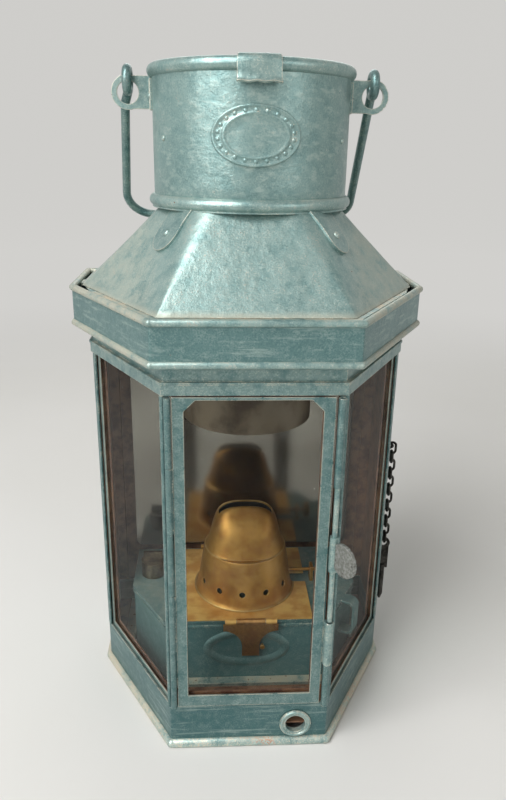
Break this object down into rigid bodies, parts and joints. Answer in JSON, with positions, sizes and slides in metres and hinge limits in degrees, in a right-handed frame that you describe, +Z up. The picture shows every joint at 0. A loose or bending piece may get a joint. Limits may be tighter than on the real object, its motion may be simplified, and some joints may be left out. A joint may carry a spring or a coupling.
{
  "type": "railway cabin lantern",
  "caption": "Half-hexagon oil lantern with glazed front faces, front door, sliding oil tank, vented roof, drum chimney and swinging wire bail.",
  "frame": {"origin": "on the flue axis, on the ground under the foot bead", "axes": "+X to the right as the front door is faced, -Y to the front, +Z up"},
  "size_m": [0.21, 0.1615, 0.3839],
  "materials": {
    "paint": "teal hammered enamel, worn at the edges",
    "red_oxide": "red oxide and rust inside",
    "tank_paint": "dull green enamel",
    "brass": "aged brass",
    "steel": "worn bright steel",
    "dark_steel": "dark chain iron",
    "pane": "clear sheet glass",
    "reflector": "dulled silvered sheet",
    "wick": "woven cotton"
  },
  "bodies": {
    "case": {"base_skirt": "paint", "base_floor": "red_oxide", "air_eyelet": "paint", "tank_guides": "tank_paint", "corner_posts": "paint", "side_panel_left": "paint", "side_panel_right": "paint", "window_frame_left": "paint", "window_frame_right": "paint", "window_pane_left": "pane", "window_pane_right": "pane", "frieze": "paint", "crown_plate": "red_oxide", "inner_chimney": "red_oxide", "gallery_band": "paint", "gallery_lugs": "paint", "roof": "paint", "roof_straps": "paint", "chimney_drum": "paint", "oval_plate": "paint", "rim_clip": "paint", "rain_baffle": "red_oxide", "bail_lugs": "paint", "door_hinge_tubes": "paint", "door_hinge_pin": "steel", "latch_guides": "paint", "flap_hinge_tubes": "paint", "flap_hinge_pin": "steel", "peg_ear": "paint", "chain_staple": "dark_steel"},
    "bail": {"bail": "paint"},
    "door": {"door_frame": "paint", "door_pane": "pane", "door_knuckles": "paint", "latch_knuckle": "paint"},
    "latch": {"latch_rod": "steel", "latch_collar": "paint", "thumb_disc": "steel"},
    "flap": {"back_flap": "paint", "flap_knuckles": "paint", "reflector": "reflector"},
    "tank": {"oil_tank": "tank_paint", "tank_handle": "tank_paint", "filler_neck": "tank_paint", "wick_tube": "brass", "plate_hinge": "brass", "hasp_stud": "brass"},
    "filler": {"filler_cap": "brass"},
    "burner": {"burner_plate": "brass", "burner_cone": "brass", "flame_cap": "brass", "hasp_pin": "steel"},
    "hasp": {"hasp_leaf": "brass"},
    "winder": {"winder_spindle": "brass", "winder_knob": "brass"},
    "wick": {"wick": "wick"},
    "chain": {"chain": "dark_steel", "locking_peg": "dark_steel"}
  },
  "joints": [
    {"name": "bail_swing", "type": "hinge", "parent": "case", "child": "bail", "pos_m": [0, 0, 0.3751], "axis": [1, 0, 0], "range_deg": [0, 270]},
    {"name": "door_swing", "type": "hinge", "parent": "case", "child": "door", "pos_m": [-0.0443, -0.08297, 0.12], "axis": [0, 0, -1], "range_deg": [0, 150]},
    {"name": "latch_slide", "type": "slide", "parent": "case", "child": "latch", "axis": [0, 0, 1], "range_m": [-0.033, 0.029]},
    {"name": "flap_swing", "type": "hinge", "parent": "case", "child": "flap", "pos_m": [0, 0.055, 0.222], "axis": [1, 0, 0], "range_deg": [0, 90]},
    {"name": "tank_slide", "type": "slide", "parent": "case", "child": "tank", "axis": [0, 1, 0], "range_m": [0, 0.105]},
    {"name": "filler_turn", "type": "hinge", "parent": "tank", "child": "filler", "pos_m": [-0.063, 0.014, 0.0595], "axis": [0, 0, 1], "continuous": true},
    {"name": "burner_lift", "type": "hinge", "parent": "tank", "child": "burner", "pos_m": [0, 0.0454, 0.0614], "axis": [-1, 0, 0], "range_deg": [0, 25]},
    {"name": "hasp_swing", "type": "hinge", "parent": "burner", "child": "hasp", "pos_m": [0, -0.04277, 0.0603], "axis": [-1, 0, 0], "range_deg": [0, 120]},
    {"name": "winder_turn", "type": "hinge", "parent": "tank", "child": "winder", "pos_m": [0, 0.005, 0.067], "axis": [1, 0, 0], "range_deg": [-90, 180]},
    {"name": "wick_raise", "type": "slide", "parent": "tank", "child": "wick", "axis": [0, 0, 1], "range_m": [-0.0065, 0.013]},
    {"name": "chain_swing", "type": "hinge", "parent": "case", "child": "chain", "pos_m": [0.0981, 0.012, 0.157], "axis": [1, 0, 0], "range_deg": [-20, 20]}
  ],
  "couplings": [
    {"joint": "tank_slide", "follows": "flap_swing", "m_per_rad": 0.066},
    {"joint": "wick_raise", "follows": "winder_turn", "m_per_rad": 0.004}
  ]
}
